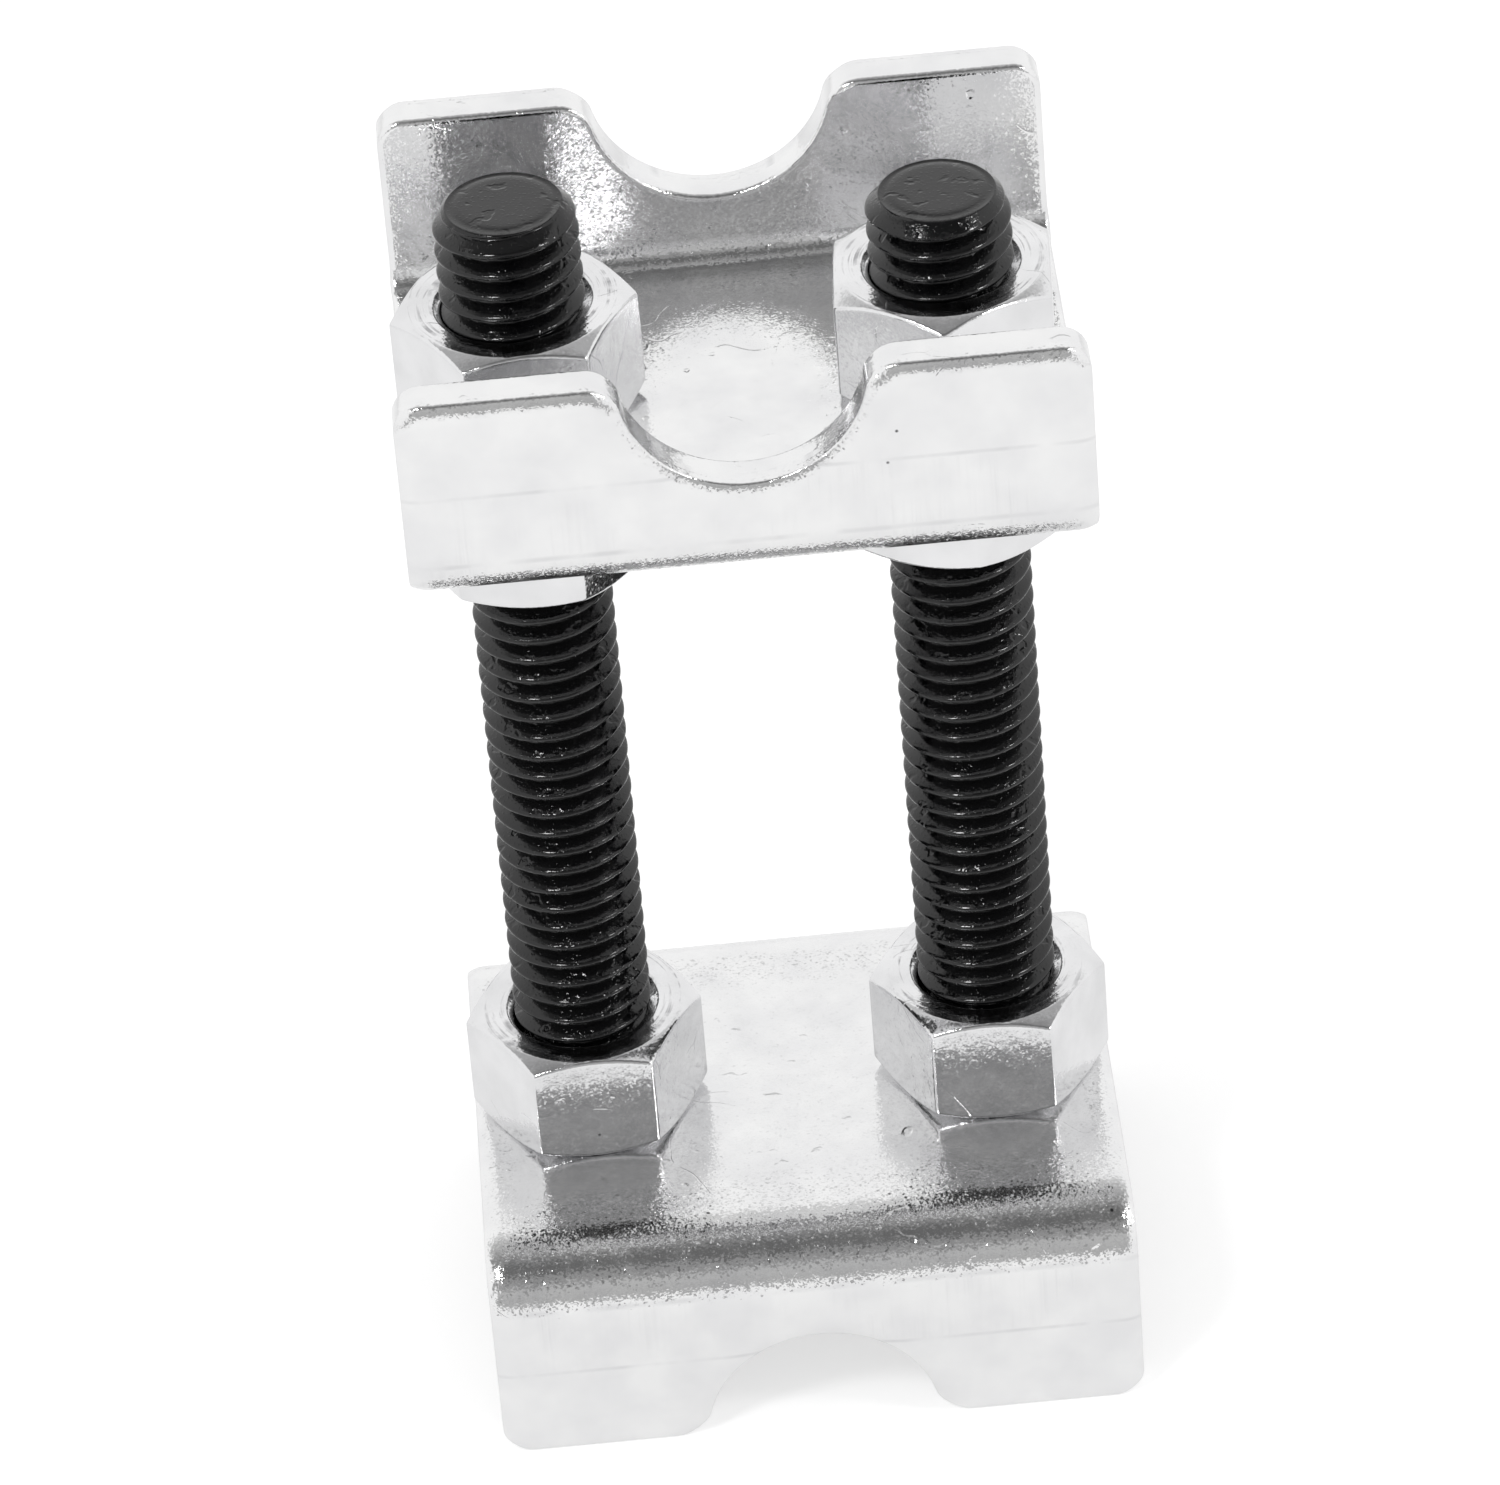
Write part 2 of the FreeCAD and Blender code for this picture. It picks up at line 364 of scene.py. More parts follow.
def threadedRodTree():
    # a cylinder of radius 1 whose points are moved out to a right-hand thread, then chamfered at its end
    tree = bpy.data.node_groups.new("threadedRod", "GeometryNodeTree")
    lengths = [
        "Length", "Pitch", "Crest Radius", "Root Radius", "Crest Share", "Root Share", "Crest Round",
        "Root Round", "End Radius", "End Round", "Rim Drop"]
    sockets = [(name, "NodeSocketFloat") for name in lengths]
    sockets += [("Around", "NodeSocketInt"), ("Rows", "NodeSocketInt")]
    sockets += [("Foot", "NodeSocketVector"), ("Coating", "NodeSocketMaterial")]
    for name, kind in sockets:
        tree.interface.new_socket(name, in_out="INPUT", socket_type=kind)
    tree.interface.new_socket("Geometry", in_out="OUTPUT", socket_type="NodeSocketGeometry")
    given = addNode(tree, "NodeGroupInput", out=None).outputs
    rod = addNode(tree, "GeometryNodeMeshCylinder", {"fill_type": "TRIANGLE_FAN"}, {
        "Vertices": given["Around"], "Side Segments": given["Rows"], "Fill Segments": 8,
        "Radius": 1.0, "Depth": given["Length"]}, "Mesh")
    position = addNode(tree, "GeometryNodeInputPosition")
    split = addNode(tree, "ShaderNodeSeparateXYZ", None, {0: position}, None).outputs
    foot = addNode(tree, "ShaderNodeSeparateXYZ", None, {0: given["Foot"]}, None).outputs
    height = addNode(tree, "ShaderNodeMath", {"operation": "MULTIPLY_ADD"}, {
        0: given["Length"], 1: 0.5, 2: split["Z"]})
    frameHeight = addNode(tree, "ShaderNodeMath", {"operation": "ADD"}, {0: height, 1: foot["Z"]})
    # where along the thread's profile a point lies: 0 on the crest's middle, 1 on the root's
    angle = addNode(tree, "ShaderNodeMath", {"operation": "ARCTAN2"}, {0: split["Y"], 1: split["X"]})
    turn = addNode(tree, "ShaderNodeMath", {"operation": "DIVIDE"}, {0: angle, 1: 2 * math.pi})
    turnsUp = addNode(tree, "ShaderNodeMath", {"operation": "DIVIDE"}, {0: frameHeight, 1: given["Pitch"]})
    ahead = addNode(tree, "ShaderNodeMath", {"operation": "SUBTRACT"}, {0: turnsUp, 1: turn})
    phase = addNode(tree, "ShaderNodeMath", {"operation": "FRACT"}, {0: ahead})
    offMiddle = addNode(tree, "ShaderNodeMath", {"operation": "SUBTRACT"}, {0: phase, 1: 0.5})
    eitherSide = addNode(tree, "ShaderNodeMath", {"operation": "ABSOLUTE"}, {0: offMiddle})
    fromCrest = addNode(tree, "ShaderNodeMath", {"operation": "MULTIPLY"}, {0: eitherSide, 1: 2.0})
    flank = addNode(tree, "ShaderNodeMapRange", {"clamp": False}, {
        "Value": fromCrest, "From Min": given["Crest Share"], "From Max": given["Root Share"],
        "To Min": given["Crest Radius"], "To Max": given["Root Radius"]})
    topped = addNode(tree, "ShaderNodeMath", {"operation": "SMOOTH_MIN"}, {
        0: given["Crest Radius"], 1: flank, 2: given["Crest Round"]})
    ridge = addNode(tree, "ShaderNodeMath", {"operation": "SMOOTH_MAX"}, {
        0: given["Root Radius"], 1: topped, 2: given["Root Round"]})
    # a smooth minimum leaves a soft edge where the chamfer runs out into the thread
    toEnd = addNode(tree, "ShaderNodeMath", {"operation": "SUBTRACT"}, {0: given["Length"], 1: height})
    chamfer = addNode(tree, "ShaderNodeMath", {"operation": "ADD"}, {0: given["End Radius"], 1: toEnd})
    radius = addNode(tree, "ShaderNodeMath", {"operation": "SMOOTH_MIN"}, {
        0: ridge, 1: chamfer, 2: given["End Round"]})
    # the end face is a shallow dome with a rounded rim
    flat = addNode(tree, "ShaderNodeCombineXYZ", None, {"X": split["X"], "Y": split["Y"]})
    spread = addNode(tree, "ShaderNodeVectorMath", {"operation": "LENGTH"}, {0: flat}, "Value")
    nearRim = addNode(tree, "ShaderNodeMath", {"operation": "POWER"}, {0: spread, 1: 14.0})
    drop = addNode(tree, "ShaderNodeMath", {"operation": "MULTIPLY"}, {0: nearRim, 1: given["Rim Drop"]})
    atEnd = addNode(tree, "ShaderNodeMath", {"operation": "LESS_THAN"}, {0: toEnd, 1: 0.001 * mm})
    rimDrop = addNode(tree, "ShaderNodeMath", {"operation": "MULTIPLY"}, {0: drop, 1: atEnd})
    x, y = [
        addNode(tree, "ShaderNodeMath", {"operation": "MULTIPLY_ADD"}, {
            0: split[axis], 1: radius, 2: foot[axis]})
        for axis in ("X", "Y")]
    z = addNode(tree, "ShaderNodeMath", {"operation": "SUBTRACT"}, {0: frameHeight, 1: rimDrop})
    moved = addNode(tree, "ShaderNodeCombineXYZ", None, {"X": x, "Y": y, "Z": z})
    shaped = addNode(tree, "GeometryNodeSetPosition", None, {"Geometry": rod, "Position": moved})
    real = addNode(tree, "GeometryNodeRealizeInstances", None, {"Geometry": shaped})
    painted = addNode(tree, "GeometryNodeSetMaterial", None, {"Geometry": real, "Material": given["Coating"]})
    addNode(tree, "NodeGroupOutput", None, {"Geometry": painted}, None)
    return tree


def growTree(name, tree, values):
    # runs a geometry tree on an empty mesh and keeps the result as a plain mesh
    holder = meshObject(name, [], [])
    modifier = holder.modifiers.new("grow", "NODES")
    modifier.node_group = tree
    for item in tree.interface.items_tree:
        if item.in_out == "INPUT":
            modifier[item.identifier] = values[item.name]
    depsgraph = bpy.context.evaluated_depsgraph_get()
    mesh = bpy.data.meshes.new_from_object(holder.evaluated_get(depsgraph))
    holder.modifiers.remove(modifier)
    holder.data = mesh
    return holder


hexShape = {
    "faceRatio": 0.97, "chamferSlope": math.tan(math.radians(30)), "edgeRadius": 0.32,
    "arrisRadius": 0.22, "mouth": 5.3, "mouthSlope": 1.2, "mouthLip": 0.08, "minorRadius": 4.1,
    "boreRowsPerTurn": 12, "flankRows": (2, 0, -2),
    "faceLip": ((-0.12, 0), (-0.04, -0.006), (0.04, -0.035)),     # out and up from the face's rim
}


def hexColumns(flat, cornerAngle):
    # angles around a hexagon with rounded corners, and the outline's radius at each
    edge = hexShape["edgeRadius"]
    centre = (flat - edge) / math.cos(math.radians(30))
    reach = 30 - math.degrees(math.atan2(centre * 0.5, flat))
    steps = [reach * s for s in (0, 0.35, 0.7, 1.0)] + [reach + 0.8, 4.5, 9, 14, 19, 24, 29.999]
    angles, radii = [], []
    for corner in range(6):
        for offset in [-s for s in reversed(steps[1:])] + steps[:-1]:
            rad = math.radians(offset)
            if abs(offset) <= reach:
                r = centre * math.cos(rad) + math.sqrt(edge ** 2 - (centre * math.sin(rad)) ** 2)
            else:
                r = flat / math.cos(math.radians(30 - abs(offset)))
            angles.append(math.radians(cornerAngle + 60 * corner + offset))
            radii.append(r)
    return np.array(angles), np.array(radii)


def arrisPoints(face, radius, top):
    # profile from the flat face over the 30 degree chamfer and round onto the flank, going outwards and down
    slope, arris = hexShape["chamferSlope"], hexShape["arrisRadius"]
    chamferTop = top - (radius - face) * slope
    start = (radius - arris, chamferTop + arris * slope)
    end = (radius, chamferTop - arris)
    points = [(face + out, top + up) for out, up in hexShape["faceLip"]]
    for t in (0.0, 0.2, 0.4, 0.6, 0.8, 1.0):
        # rounded by a curve whose corner is the sharp arris
        a, b, c = (1 - t) ** 2, 2 * t * (1 - t), t * t
        points.append((a * start[0] + b * radius + c * end[0], a * start[1] + b * chamferTop + c * end[1]))
    return points


def hexBody(name, box, flat, cornerAngle, bored):
    # a closed grid: one column of profile points for each angle, joined all the way round
    low, high = box
    x, y = (low.x + high.x) / 2 / mm, (low.y + high.y) / 2 / mm
    bottom, top = low.z / mm, high.z / mm
    angles, radii = hexColumns(flat, cornerAngle)
    face = flat * hexShape["faceRatio"]
    columns = []
    for angle, radius in zip(angles, radii):
        upper = arrisPoints(face, radius, top)
        lower = [(r, bottom + top - z) for r, z in reversed(upper)]
        middle = (top + bottom) / 2
        profile = upper + [(radius, middle + row) for row in hexShape["flankRows"]] + lower
        if bored:
            rows = int(round((top - bottom) / thread["pitch"] * hexShape["boreRowsPerTurn"]))
            mouth = hexShape["mouth"]
            bore = []
            for row in range(rows + 1):
                z = bottom + (top - bottom) * row / rows
                groove = threadRadius(angle / (2 * math.pi), z) + thread["clearance"]
                countersink = mouth - min(z - bottom, top - z) * hexShape["mouthSlope"]
                r = max(groove, hexShape["minorRadius"], countersink)
                bore.append((r, z))
            lip = mouth + hexShape["mouthLip"]
            profile = [(lip, top)] + profile + [(lip, bottom)] + bore
        columns.append([(r * math.cos(angle) + x, r * math.sin(angle) + y, z) for r, z in profile])
    count, rows = len(columns), len(columns[0])
    vertices = np.array(columns).reshape(-1, 3) * mm
    faces = []
    for i in range(count):
        j = (i + 1) % count
        for k in range(rows if bored else rows - 1):
            m = (k + 1) % rows
            faces.append((i * rows + k, i * rows + m, j * rows + m, j * rows + k))
    if not bored:
        faces.append([i * rows for i in range(count)])
        faces.append([i * rows + rows - 1 for i in reversed(range(count))])
    return meshObject(name, vertices, faces)


def smoothAndWeight(piece):
    # smooth shading that leaves the large flats flat
    piece.data.shade_smooth()
    weighted = piece.modifiers.new("weighted", "WEIGHTED_NORMAL")
    weighted.mode = "FACE_AREA"
    weighted.weight = 100
    weighted.keep_sharp = True
    depsgraph = bpy.context.evaluated_depsgraph_get()
    mesh = bpy.data.meshes.new_from_object(piece.evaluated_get(depsgraph))
    piece.modifiers.remove(weighted)
    piece.data = mesh


def checkOutward(piece):
    work = bmesh.new()
    work.from_mesh(piece.data)
    if work.calc_volume(signed=True) < 0:
        bmesh.ops.reverse_faces(work, faces=work.faces[:])
    work.to_mesh(piece.data)
    work.free()


nutSizes = {
    "flat": 7.1,
    "cornerAngles": {
        "left_base_nut": 2.2, "right_base_nut": -2.2, "left_adjusting_nut": -9.8,
        "right_adjusting_nut": -84.7, "left_lock_nut": 3.4, "right_lock_nut": -94.1,
    },
}
for nodeName, cornerAngle in nutSizes["cornerAngles"].items():
    nut = hexBody("nut_" + nodeName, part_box(nodeName), nutSizes["flat"], cornerAngle, bored=True)
    checkOutward(nut)
    smoothAndWeight(nut)
    finishPiece(nut, nutZinc, bodyOf(nodeName), nodeName)
print("nuts made")


boltSizes = {"headHeight": 6.0, "flat": 7.1, "endRadius": 3.7, "endRound": 0.15, "rimDrop": 0.18}
rodTree = threadedRodTree()
for nodeName in ("left_bolt", "right_bolt"):
    low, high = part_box(nodeName)
    seat = low.z + boltSizes["headHeight"] * mm
    length = high.z - seat
    rod = growTree("rod_" + nodeName, rodTree, {
        "Length": length, "Pitch": thread["pitch"] * mm, "Crest Radius": thread["crest"] * mm,
        "Root Radius": thread["root"] * mm, "Crest Share": thread["crestShare"],
        "Root Share": thread["rootShare"], "Crest Round": thread["crestRound"] * mm,
        "Root Round": thread["rootRound"] * mm, "End Radius": boltSizes["endRadius"] * mm,
        "End Round": boltSizes["endRound"] * mm, "Rim Drop": boltSizes["rimDrop"] * mm,
        "Around": thread["around"],
        "Rows": int(round(length / mm / thread["pitch"] * thread["rowsPerTurn"])),
        "Foot": ((low.x + high.x) / 2, (low.y + high.y) / 2, seat), "Coating": boltBlack})
    rod.data.shade_smooth()
    headBox = (low, Vector((high.x, high.y, seat)))
    head = hexBody("head_" + nodeName, headBox, boltSizes["flat"], 0.0, bored=False)
    checkOutward(head)
    smoothAndWeight(head)
    for piece in (rod, head):
        finishPiece(piece, boltBlack, "lower_bracket", nodeName)
print("bolts made")


bracketShape = {
    "plate": 3.175, "outerBend": 4.7625, "seatRadius": 7.9375, "shoulder": 2.5, "corner": 1.9,
    "dieRoll": 1.4, "dieRollDrop": 0.38, "dieRollPower": 2.2, "edgeRound": 0.16, "innerRound": 0.38,
    "cornerRoll": 0.5, "seatRoll": -0.6,     # how much more or less the edge rolls over there
    "holeRadius": 5.16, "holeSteps": 48,
    "cornerSteps": 10, "shoulderSteps": 12, "seatSteps": 48, "bendRows": 26,
    "endRoom": 0.12, "bulge": 0.12, "bulgeSpread": 0.42, "bulgeReach": 1.6, "endCuts": (1.2, 1.8, 2.6, 3.6),
}


def arc(cx, cs, radius, start, stop, steps):
    # points round a centre, between two angles in degrees
    angles = np.radians(np.linspace(start, stop, steps + 1))
    return [(cx + radius * math.cos(a), cs + radius * math.sin(a)) for a in angles]


def blankOutline(halfLength, blankWidth, inset):
    # outline of the flat blank, pulled in by a distance; s runs across it from one flange tip to the other
    shape = bracketShape
    corner, shoulder = shape["corner"], shape["shoulder"]
    across = math.sqrt((shape["seatRadius"] + shoulder) ** 2 - shoulder ** 2)
    lift = math.degrees(math.atan2(shoulder, across))
    cornerSteps, shoulderSteps, seatSteps = shape["cornerSteps"], shape["shoulderSteps"], shape["seatSteps"]
    tip = arc(-halfLength + corner, corner, corner - inset, 180, 270, cornerSteps)
    tip += arc(-across, shoulder, shoulder - inset, 270, 360 - lift, shoulderSteps)
    tip += arc(0, 0, shape["seatRadius"] + inset, 180 - lift, lift, seatSteps)[1:-1]
    tip += arc(across, shoulder, shoulder - inset, 180 + lift, 270, shoulderSteps)
    tip += arc(halfLength - corner, corner, corner - inset, 270, 360, cornerSteps)
    # the sheet rolls over more at an outward corner, and less round the seat
    onCorner = [math.sin(math.pi * i / cornerSteps) ** 2 for i in range(cornerSteps + 1)]
    onShoulder = [math.sin(math.pi * i / shoulderSteps) ** 2 for i in range(shoulderSteps + 1)]
    onSeat = [shape["seatRoll"] * math.sin(math.pi * i / seatSteps) ** 0.5 for i in range(1, seatSteps)]
    weights = onCorner + onShoulder + onSeat + onShoulder + onCorner
    return [(x, s, k) for (x, s), k in zip(tip, weights)] + [
        (-x, blankWidth - s, k) for (x, s), k in zip(tip, weights)]


def foldedPoint(x, s, w, sizes):
    # places a point of the blank on the folded channel; w is its height above the channel's inner face
    plate, bend = bracketShape["plate"], bracketShape["outerBend"]
    flange, bendRun = sizes["flange"], sizes["bendRun"]
    mirrored = s > sizes["blank"] / 2
    t = sizes["blank"] - s if mirrored else s
    half = sizes["width"] / 2
    if t <= flange:
        y, z = -half + plate - w, t
    elif t <= flange + bendRun:
        angle = (t - flange) / bendRun * math.pi / 2
        r = bend - plate + w
        y, z = -half + bend - r * math.cos(angle), sizes["height"] - bend + r * math.sin(angle)
    else:
        y, z = -half + bend + (t - flange - bendRun), sizes["height"] - plate + w
    return x, (-y if mirrored else y), z


def edgeRings():
    # the blank's edge from the outer face to the inner one, as insets from its outline and heights
    # above the inner face: the outer face rolls over towards the edge, where the punch went in, and ends
    # in a small round, and the inner edge is rounded by tumbling
    shape = bracketShape
    plate, roll, drop = shape["plate"], shape["dieRoll"], shape["dieRollDrop"]
    nip, inner = shape["edgeRound"], shape["innerRound"]
    rings = [(roll + 0.15, plate)]
    rings += [(roll * (1 - u), plate - drop * u ** shape["dieRollPower"])
              for u in np.linspace(0, 1 - nip / roll, 9)]
    start, edge = rings[-1][1], plate - drop
    rings += [(nip * (1 - t) ** 2, start * (1 - t) ** 2 + edge * 2 * t * (1 - t) + (edge - nip) * t * t)
              for t in (0.25, 0.5, 0.75, 1.0)]
    rings += [(0, plate * 0.5), (0, plate * 0.3)]
    rings += [(inner * (1 - math.cos(a)), inner * (1 - math.sin(a))) for a in np.linspace(0, math.pi / 2, 7)]
    rings.append((inner + 0.06, 0))
    return rings


def edgeWall(work, halfLength, blankWidth):
    # the wall round the blank's outline; returns its loops of points, from the outer face to the inner one
    plate = bracketShape["plate"]
    rollHeight = plate - bracketShape["dieRollDrop"]
    loops = []
    for inset, w in edgeRings():
        rolled = max(0.0, min(1.0, (w - rollHeight * 0.5) / (rollHeight * 0.5))) * (plate - w)
        loops.append([work.verts.new((x, s, w - rolled * k * bracketShape["cornerRoll"]))
                      for x, s, k in blankOutline(halfLength, blankWidth, inset)])
    for upper, lower in zip(loops, loops[1:]):
        for i in range(len(upper)):
            j = (i + 1) % len(upper)
            work.faces.new((upper[i], upper[j], lower[j], lower[i]))
    return loops


def boltHole(work, x, s):
    # the wall of one hole with sharp rims; returns its rims at the outer and the inner face
    steps, radius = bracketShape["holeSteps"], bracketShape["holeRadius"]
    ring = [(x + radius * math.cos(a), s + radius * math.sin(a))
            for a in np.linspace(0, 2 * math.pi, steps, endpoint=False)]
    top = [work.verts.new((px, ps, bracketShape["plate"])) for px, ps in ring]
    bottom = [work.verts.new((px, ps, 0)) for px, ps in ring]
    for i in range(steps):
        j = (i + 1) % steps
        work.faces.new((top[i], bottom[i], bottom[j], top[j]))
        for rim in (top, bottom):
            work.edges.get((rim[i], rim[j])).smooth = False
    return top, bottom


def fillFaces(work, loops, holes):
    for side, edgeLoop in ((0, loops[0]), (1, loops[-1])):
        edges = []
        for ring in [edgeLoop] + [hole[side] for hole in holes]:
            for i in range(len(ring)):
                edges.append(work.edges.get((ring[i], ring[(i + 1) % len(ring)])))
        bmesh.ops.triangle_fill(work, use_beauty=True, edges=edges)


def cutBlank(work, sizes, halfLength):
    # cut lines let the blank bend, and give the bulges at its ends something to move
    rows = bracketShape["bendRows"]
    cuts = []
    for k in range(-2, rows + 3):
        s = sizes["flange"] + sizes["bendRun"] * k / rows
        cuts += [((0, s, 0), (0, 1, 0)), ((0, sizes["blank"] - s, 0), (0, 1, 0))]
    for inset in bracketShape["endCuts"]:
        cuts += [((halfLength - inset, 0, 0), (1, 0, 0)), ((inset - halfLength, 0, 0), (1, 0, 0))]
    for point, normal in cuts:
        geometry = work.verts[:] + work.edges[:] + work.faces[:]
        bmesh.ops.bisect_plane(work, geom=geometry, dist=1e-6, plane_co=point, plane_no=normal)


def bendBlank(work, sizes, halfLength):
    shape = bracketShape
    blank = work.verts.layers.float_vector.new("blank")
    for vertex in work.verts:
        x, s, w = vertex.co
        pastBend = min(s, sizes["blank"] - s) - sizes["flange"]
        vertex[blank] = Vector((x, pastBend, w)) * mm
        # bending squeezes the inner side of the plate out at its ends and draws the outer side in
        along = (pastBend / sizes["bendRun"] - 0.5) / shape["bulgeSpread"]
        swell = math.exp(-along ** 2) * math.exp(-(halfLength - abs(x)) / shape["bulgeReach"])
        x += math.copysign(shape["bulge"] * swell * (1 - 1.6 * w / shape["plate"]), x)
        vertex.co = foldedPoint(x, s, w, sizes)


def makeBracket(name, box, flangesUp):
    # a flat blank with its holes, folded into a channel
    low, high = box
    shape = bracketShape
    sizes = {"length": (high.x - low.x) / mm, "width": (high.y - low.y) / mm, "height": (high.z - low.z) / mm}
    sizes["flange"] = sizes["height"] - shape["outerBend"]
    sizes["bendRun"] = math.pi / 2 * (shape["outerBend"] - shape["plate"] / 2)
    webRun = sizes["width"] - 2 * shape["outerBend"]
    sizes["blank"] = 2 * (sizes["flange"] + sizes["bendRun"]) + webRun
    halfLength = sizes["length"] / 2 - shape["endRoom"]
    work = bmesh.new()
    loops = edgeWall(work, halfLength, sizes["blank"])
    boltX = [(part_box(bolt)[0].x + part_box(bolt)[1].x) / 2 / mm for bolt in ("left_bolt", "right_bolt")]
    holes = [boltHole(work, x, sizes["blank"] / 2) for x in boltX]
    fillFaces(work, loops, holes)
    cutBlank(work, sizes, halfLength)
    bendBlank(work, sizes, halfLength)
    lift = Matrix.Translation(((low.x + high.x) / 2, (low.y + high.y) / 2, high.z if flangesUp else low.z))
    if flangesUp:
        bmesh.ops.rotate(work, verts=work.verts, matrix=Matrix.Rotation(math.pi, 3, "X"))
    bmesh.ops.scale(work, vec=(mm, mm, mm), verts=work.verts)
    bmesh.ops.transform(work, matrix=lift, verts=work.verts)
    mesh = bpy.data.meshes.new(name)
    work.to_mesh(mesh)
    work.free()
    bracket = bpy.data.objects.new(name, mesh)
    bpy.context.scene.collection.objects.link(bracket)
    return bracket


for nodeName, flangesUp in (("lower_bracket", False), ("upper_bracket", True)):
    bracket = makeBracket("channel_" + nodeName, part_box(nodeName), flangesUp)
    checkOutward(bracket)
    smoothAndWeight(bracket)
    finishPiece(bracket, bracketZinc, nodeName, nodeName)
print("brackets made")


studio = {
    "floorSize": 6.0, "floorColour": "#CCCCCC", "floorLift": 0.54, "floorLiftInMetal": 0.40,
    "worldForDiffuse": 0.76, "middleHeight": 0.045,
    "keyLeft": {"azimuth": -42, "elevation": 50, "distance": 0.9, "size": 0.19, "power": 2.1},
    "keyRight": {"azimuth": 62, "elevation": 42, "distance": 0.9, "size": 0.15, "power": 1.15},
    # the tent's level as one looks round it from the back over the top to the front, and at its sides
    "tentOverTop": [
        (0.0, 1.06), (0.23, 1.06), (0.27, 0.72), (0.33, 0.64), (0.37, 0.48), (0.44, 0.46), (0.48, 0.35),
        (0.53, 0.29), (0.58, 0.22), (0.62, 0.14), (0.70, 0.15), (0.73, 0.30), (0.80, 0.33), (0.86, 0.56),
        (0.96, 0.44), (1.0, 0.48)],
    "tentSide": 1.05, "sideFrom": 0.57, "sideTo": 0.65,
    "glossyBounces": 10,
}


def makeFloor():
    half = studio["floorSize"] / 2
    corners = [(-half, -half, 0), (half, -half, 0), (half, half, 0), (-half, half, 0)]
    floor = meshObject("floor", corners, [(0, 1, 2, 3)])
    material = bpy.data.materials.new("paleFloor")
    material.use_nodes = True
    tree = material.node_tree
    tree.nodes.clear()
    matt = addNode(tree, "ShaderNodeBsdfDiffuse", None, {"Color": hexColour(studio["floorColour"])})
    rays = addNode(tree, "ShaderNodeLightPath", out=None).outputs
    seen = addNode(tree, "ShaderNodeMath", {"operation": "MULTIPLY"}, {
        0: rays["Is Camera Ray"], 1: studio["floorLift"]})
    lift = addNode(tree, "ShaderNodeMath", {"operation": "MULTIPLY_ADD"}, {
        0: rays["Is Glossy Ray"], 1: studio["floorLiftInMetal"], 2: seen})
    glow = addNode(tree, "ShaderNodeEmission", None, {"Color": (1, 1, 1, 1), "Strength": lift})
    both = addNode(tree, "ShaderNodeAddShader", None, {0: matt, 1: glow})
    addNode(tree, "ShaderNodeOutputMaterial", None, {"Surface": both}, None)
    floor.data.materials.append(material)


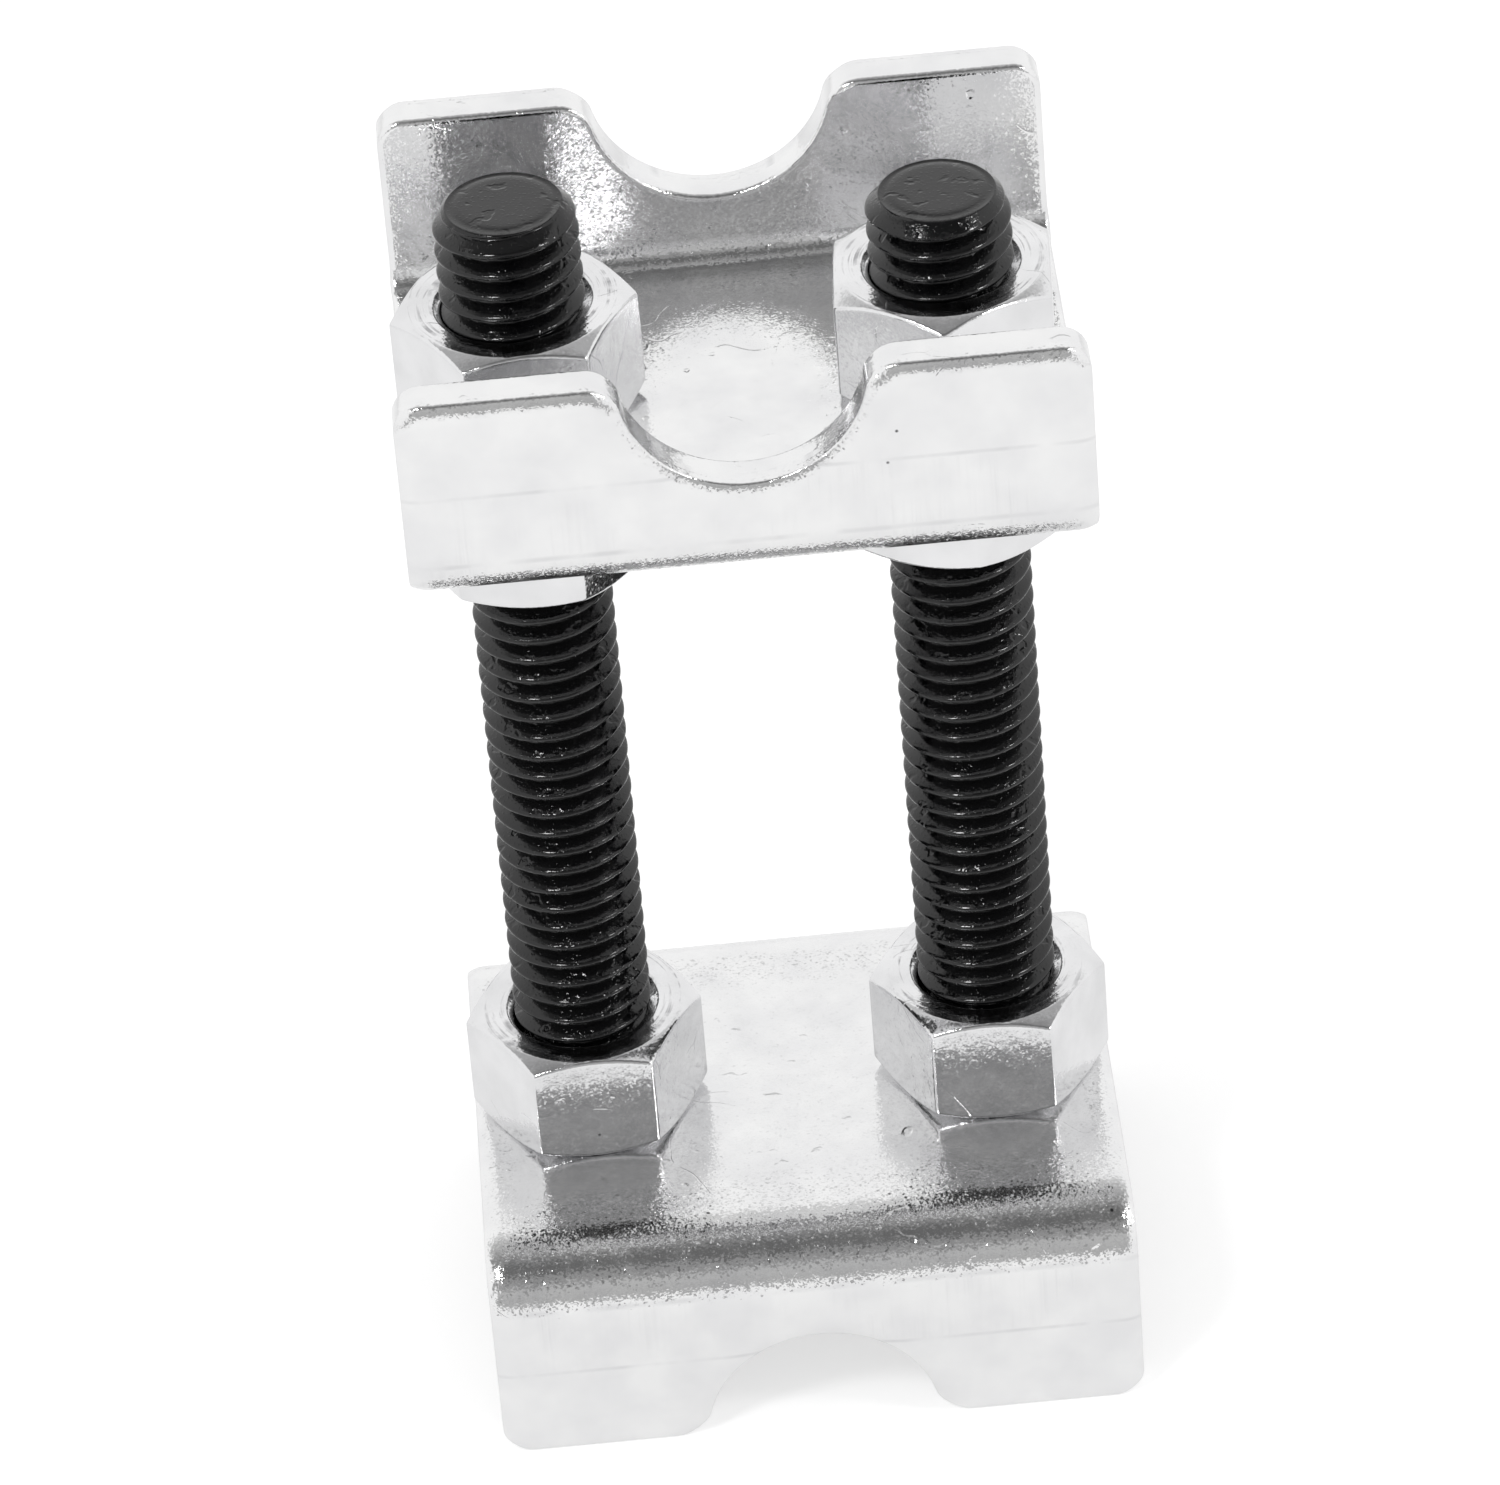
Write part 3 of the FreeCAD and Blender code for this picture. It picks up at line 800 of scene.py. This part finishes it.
def makeWorld():
    # a white tent open to a dimmer room above and in front: metal shows the tent's bright sides and back
    world = bpy.data.worlds.new("tent")
    bpy.context.scene.world = world
    world.use_nodes = True
    tree = world.node_tree
    tree.nodes.clear()
    ray = addNode(tree, "ShaderNodeTexCoord", out="Generated")
    split = addNode(tree, "ShaderNodeSeparateXYZ", None, {0: ray}, None).outputs
    angle = addNode(tree, "ShaderNodeMath", {"operation": "ARCTAN2"}, {0: split["Z"], 1: split["Y"]})
    climb = addNode(tree, "ShaderNodeMath", {"operation": "DIVIDE"}, {0: angle, 1: math.pi})
    ramp = addNode(tree, "ShaderNodeValToRGB", None, {"Fac": climb}, None)
    stops = ramp.color_ramp.elements
    while len(stops) < len(studio["tentOverTop"]):
        stops.new(0.5)
    for stop, (position, level) in zip(stops, studio["tentOverTop"]):
        stop.position = position
        stop.color = (level, level, level, 1)
    aside = addNode(tree, "ShaderNodeMath", {"operation": "ABSOLUTE"}, {0: split["X"]})
    side = addNode(tree, "ShaderNodeMapRange", {"interpolation_type": "SMOOTHSTEP"}, {
        "Value": aside, "From Min": studio["sideFrom"], "From Max": studio["sideTo"]})
    sideLevel = (studio["tentSide"],) * 3 + (1,)
    tent = addNode(tree, "ShaderNodeMix", {"data_type": "RGBA"}, {
        0: side, 6: ramp.outputs["Color"], 7: sideLevel}, 2)
    rays = addNode(tree, "ShaderNodeLightPath", out=None).outputs
    soft, mirror, plain = [
        addNode(tree, "ShaderNodeBackground", None, {"Color": colour, "Strength": strength})
        for colour, strength in (((1, 1, 1, 1), studio["worldForDiffuse"]), (tent, 1.0), ((1, 1, 1, 1), 1.0))]
    lit = addNode(tree, "ShaderNodeMixShader", None, {0: rays["Is Glossy Ray"], 1: soft, 2: mirror})
    seen = addNode(tree, "ShaderNodeMixShader", None, {0: rays["Is Camera Ray"], 1: lit, 2: plain})
    addNode(tree, "ShaderNodeOutputWorld", None, {"Surface": seen}, None)


def directionFrom(azimuth, elevation):
    # azimuth is counted from the front, towards +X
    around, up = math.radians(azimuth), math.radians(elevation)
    return Vector((math.sin(around) * math.cos(up), -math.cos(around) * math.cos(up), math.sin(up)))


def addLamp(name):
    sizes = studio[name]
    direction = directionFrom(sizes["azimuth"], sizes["elevation"])
    lamp = bpy.data.lights.new(name, "AREA")
    lamp.shape = "DISK"
    lamp.size = sizes["size"]
    lamp.energy = sizes["power"]
    made = bpy.data.objects.new(name, lamp)
    made.location = direction * sizes["distance"] + Vector((0, 0, studio["middleHeight"]))
    made.rotation_euler = direction.to_track_quat("Z", "Y").to_euler()
    bpy.context.scene.collection.objects.link(made)


makeFloor()
makeWorld()
addLamp("keyLeft")
addLamp("keyRight")
bpy.context.scene.view_settings.view_transform = "Standard"
# bright metal facing bright metal needs more bounces than usual before the light is lost
bpy.context.scene.cycles.glossy_bounces = studio["glossyBounces"]


view = {
    "target": (-0.0010, 0.0, 0.0445), "distance": 0.560, "azimuth": -1.01, "elevation": 35.58,
    "roll": -4.75, "lens": 199.1, "sensor": 36.0,
}


def makeCamera():
    # the camera looks at the point of the unit that sits at the middle of its own picture
    direction = directionFrom(view["azimuth"], view["elevation"])
    data = bpy.data.cameras.new("camera")
    data.lens = view["lens"]
    data.sensor_width = view["sensor"]
    data.clip_start = 0.01
    camera = bpy.data.objects.new("camera", data)
    roll = Matrix.Rotation(math.radians(view["roll"]), 3, "Z").to_quaternion()
    camera.rotation_euler = (direction.to_track_quat("Z", "Y") @ roll).to_euler()
    camera.location = Vector(view["target"]) + direction * view["distance"]
    bpy.context.scene.collection.objects.link(camera)
    bpy.context.scene.camera = camera


makeCamera()
print("studio ready")
